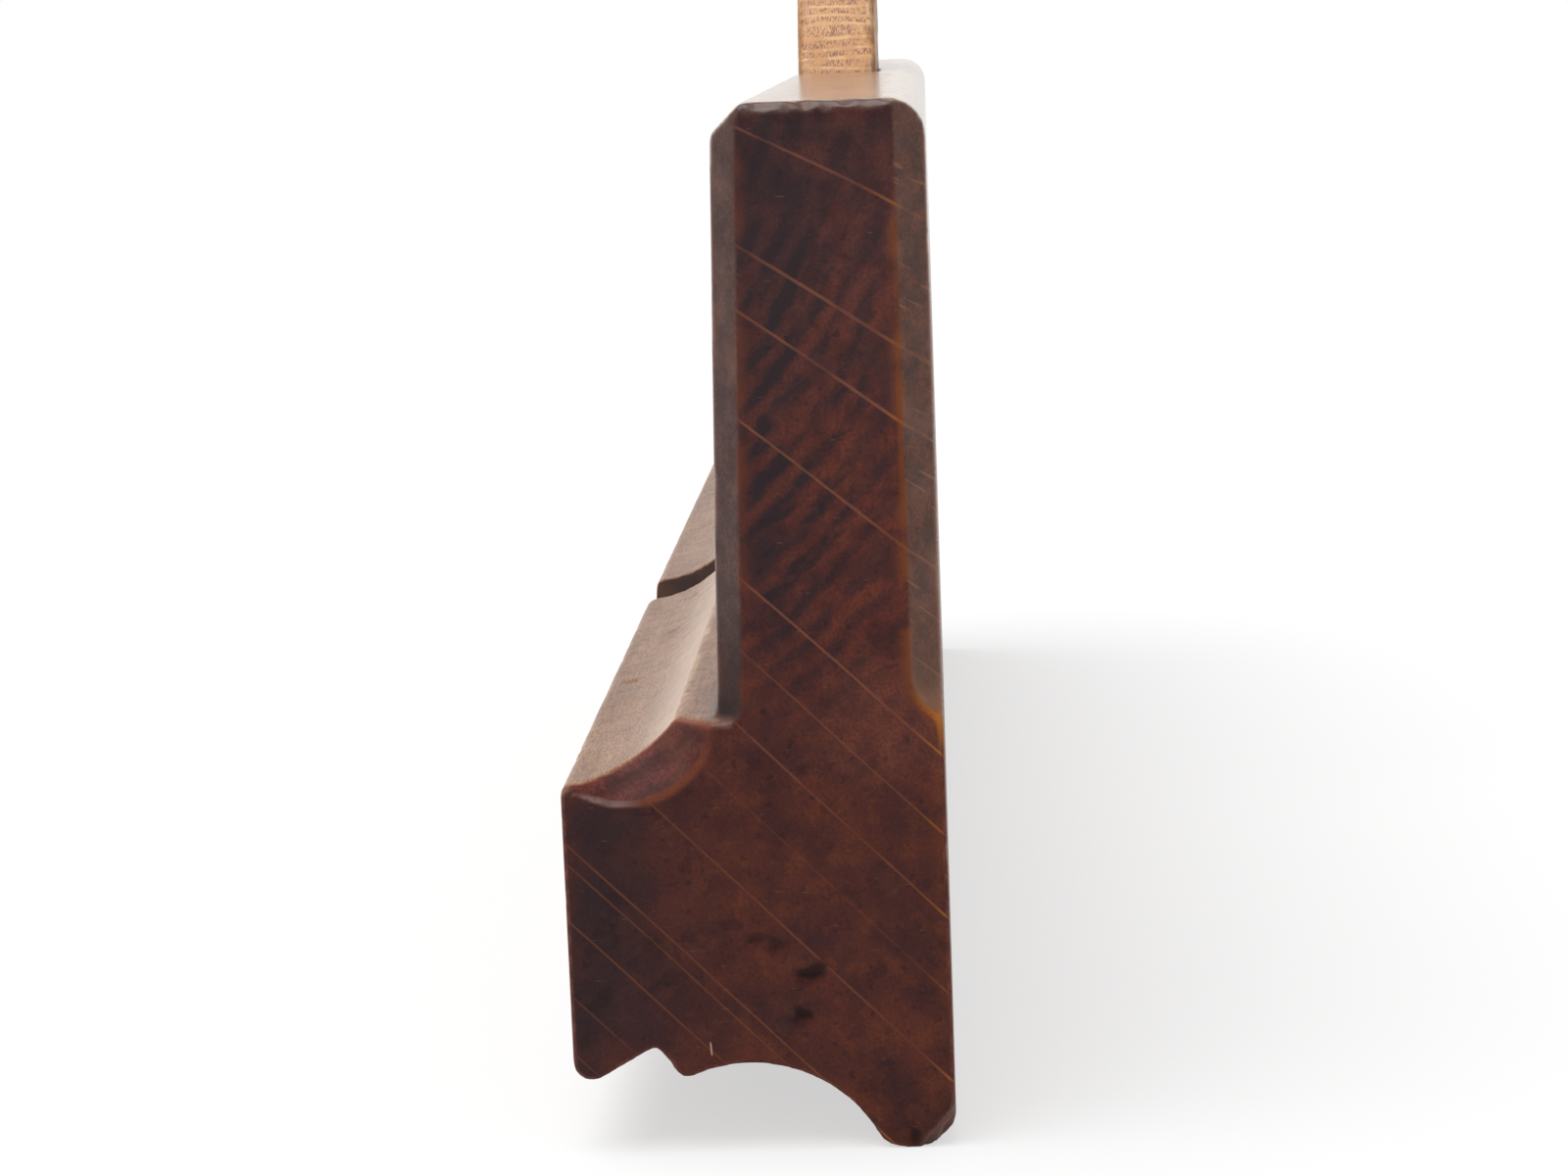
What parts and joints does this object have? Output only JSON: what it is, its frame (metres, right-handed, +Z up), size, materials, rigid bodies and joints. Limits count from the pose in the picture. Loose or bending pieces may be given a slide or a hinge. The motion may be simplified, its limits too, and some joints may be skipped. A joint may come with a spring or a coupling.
{
  "type": "moulding plane",
  "caption": "Wooden moulding plane with stepped shoulder, side escapement, depth stop and fence; a tapered wedge clamps a profiled iron that cuts an ovolo with a quirk.",
  "frame": {"origin": "middle of the plane's box, at the level of the bottom of the fence", "axes": "+X across the plane towards the blind side, +Y along the plane from toe to heel, +Z up"},
  "size_m": [0.0326, 0.2414, 0.1269],
  "materials": {
    "stock_beech": "aged dark red-brown beech with worn oil and wax polish",
    "wedge_beech": "paler tan beech, smooth from handling",
    "wrought_iron": "forged and darkened with age",
    "tool_steel": "ground and honed, lightly tarnished"
  },
  "bodies": {
    "stock": {"stock": "stock_beech"},
    "iron": {"iron": "wrought_iron", "steel_face": "tool_steel"},
    "wedge": {"wedge": "wedge_beech"}
  },
  "joints": [
    {"name": "iron_slide", "type": "slide", "parent": "stock", "child": "iron", "axis": [0, 0.6691, 0.7431], "range_m": [-0.004, 0.006]},
    {"name": "wedge_slide", "type": "slide", "parent": "stock", "child": "wedge", "axis": [0, 0.6739, 0.7388], "range_m": [0, 0.095]}
  ]
}
